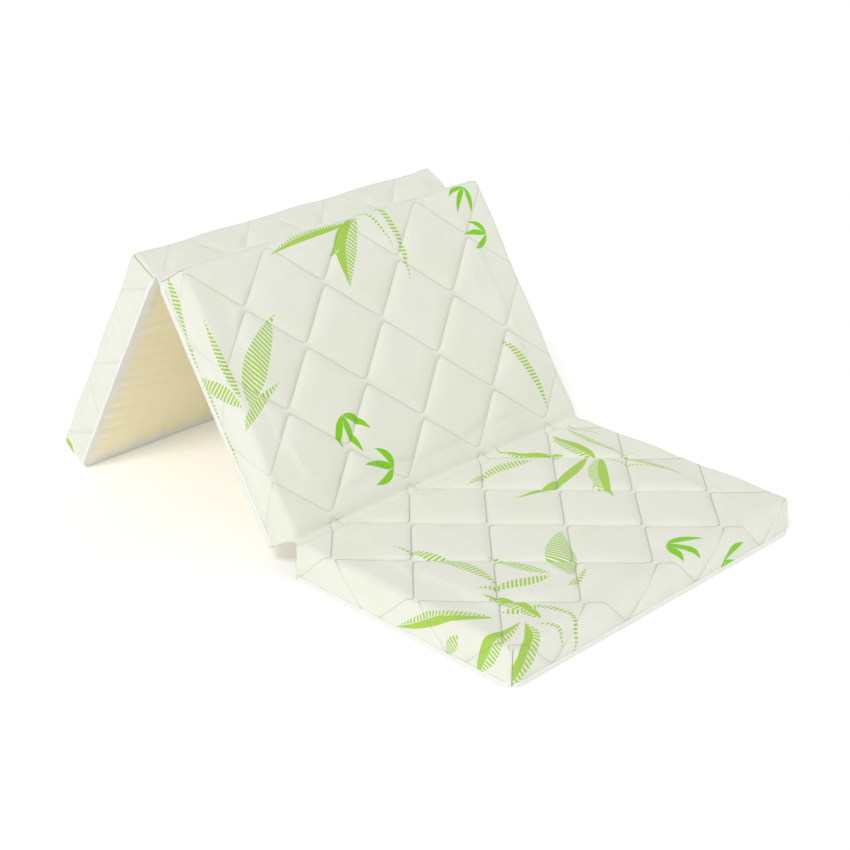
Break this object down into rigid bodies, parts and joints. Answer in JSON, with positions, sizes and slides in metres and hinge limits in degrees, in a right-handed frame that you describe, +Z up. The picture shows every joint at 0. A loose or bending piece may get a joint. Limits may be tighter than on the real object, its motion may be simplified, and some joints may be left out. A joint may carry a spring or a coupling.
{
  "type": "folding foam mattress",
  "caption": "Folding foam mattress of flat quilted pads joined by cloth folds, half open: one pad flat, the others standing as a tent; zipped covers over foam.",
  "frame": {"origin": "middle of the whole object's footprint box, on the floor, in the half-open pose", "axes": "+X from the standing pads to the free end of the flat pad, +Y across the width to the side with the zips, +Z up"},
  "size_m": [0.9228, 0.6066, 0.3869],
  "materials": {
    "quilted_knit": "soft double-knit viscose, printed, quilted",
    "wadding": "lofted polyester fibre",
    "backing_scrim": "thin spunbonded non-woven",
    "plain_cloth": "thin plain woven cotton blend, slightly see-through",
    "seam_binding": "narrow woven edge tape",
    "memory_foam": "fine-celled viscoelastic foam, matt",
    "support_foam": "open-celled polyurethane foam, matt",
    "zip_tape": "woven herringbone tape",
    "zip_coil": "wound polyester filament",
    "zip_metal": "die-cast zinc with white enamel"
  },
  "bodies": {
    "front_pad": {"front_knit_face": "quilted_knit", "front_wadding": "wadding", "front_backing_scrim": "backing_scrim", "front_base_cloth": "plain_cloth", "front_seam_binding": "seam_binding", "front_memory_foam": "memory_foam", "front_support_foam": "support_foam", "front_zip_tapes": "zip_tape", "front_zip_coil": "zip_coil", "front_zip_stops": "zip_metal", "front_end_wall": "plain_cloth"},
    "front_slider": {"front_zip_slider": "zip_metal"},
    "front_pull": {"front_zip_pull": "zip_metal"},
    "middle_pad": {"middle_knit_face": "quilted_knit", "middle_wadding": "wadding", "middle_backing_scrim": "backing_scrim", "middle_base_cloth": "plain_cloth", "middle_seam_binding": "seam_binding", "middle_memory_foam": "memory_foam", "middle_support_foam": "support_foam", "middle_zip_tapes": "zip_tape", "middle_zip_coil": "zip_coil", "middle_zip_stops": "zip_metal", "middle_end_wall": "plain_cloth"},
    "middle_slider": {"middle_zip_slider": "zip_metal"},
    "middle_pull": {"middle_zip_pull": "zip_metal"},
    "rear_pad": {"rear_knit_face": "quilted_knit", "rear_wadding": "wadding", "rear_backing_scrim": "backing_scrim", "rear_base_cloth": "plain_cloth", "rear_seam_binding": "seam_binding", "rear_memory_foam": "memory_foam", "rear_support_foam": "support_foam", "rear_zip_tapes": "zip_tape", "rear_zip_coil": "zip_coil", "rear_zip_stops": "zip_metal"},
    "rear_slider": {"rear_zip_slider": "zip_metal"},
    "rear_pull": {"rear_zip_pull": "zip_metal"}
  },
  "joints": [
    {"name": "first_fold", "type": "hinge", "parent": "front_pad", "child": "middle_pad", "pos_m": [0.06639, -0.0033, 0.0615], "axis": [0, 1, 0], "range_deg": [-56, 124]},
    {"name": "second_fold", "type": "hinge", "parent": "middle_pad", "child": "rear_pad", "pos_m": [-0.21231, -0.0033, 0.36203], "axis": [0, -1, 0], "range_deg": [-116.94, 63.06]},
    {"name": "front_zip", "type": "slide", "parent": "front_pad", "child": "front_slider", "axis": [1, 0, 0], "range_m": [0, 0.281]},
    {"name": "front_pull_swing", "type": "hinge", "parent": "front_slider", "child": "front_pull", "pos_m": [0.12339, 0.3012, 0.017], "axis": [0, 0, -1], "range_deg": [0, 165]},
    {"name": "middle_zip", "type": "slide", "parent": "middle_pad", "child": "middle_slider", "axis": [-0.5592, 0, 0.829], "range_m": [0, 0.291]},
    {"name": "middle_pull_swing", "type": "hinge", "parent": "middle_slider", "child": "middle_pull", "pos_m": [-0.00237, 0.3012, 0.08387], "axis": [0.829, 0, 0.5592], "range_deg": [0, 165]},
    {"name": "rear_zip", "type": "slide", "parent": "rear_pad", "child": "rear_slider", "axis": [0.4857, 0, 0.8741], "range_m": [0, 0.301]},
    {"name": "rear_pull_swing", "type": "hinge", "parent": "rear_slider", "child": "rear_pull", "pos_m": [-0.40236, 0.3012, 0.05808], "axis": [0.8741, 0, -0.4857], "range_deg": [0, 165]}
  ]
}
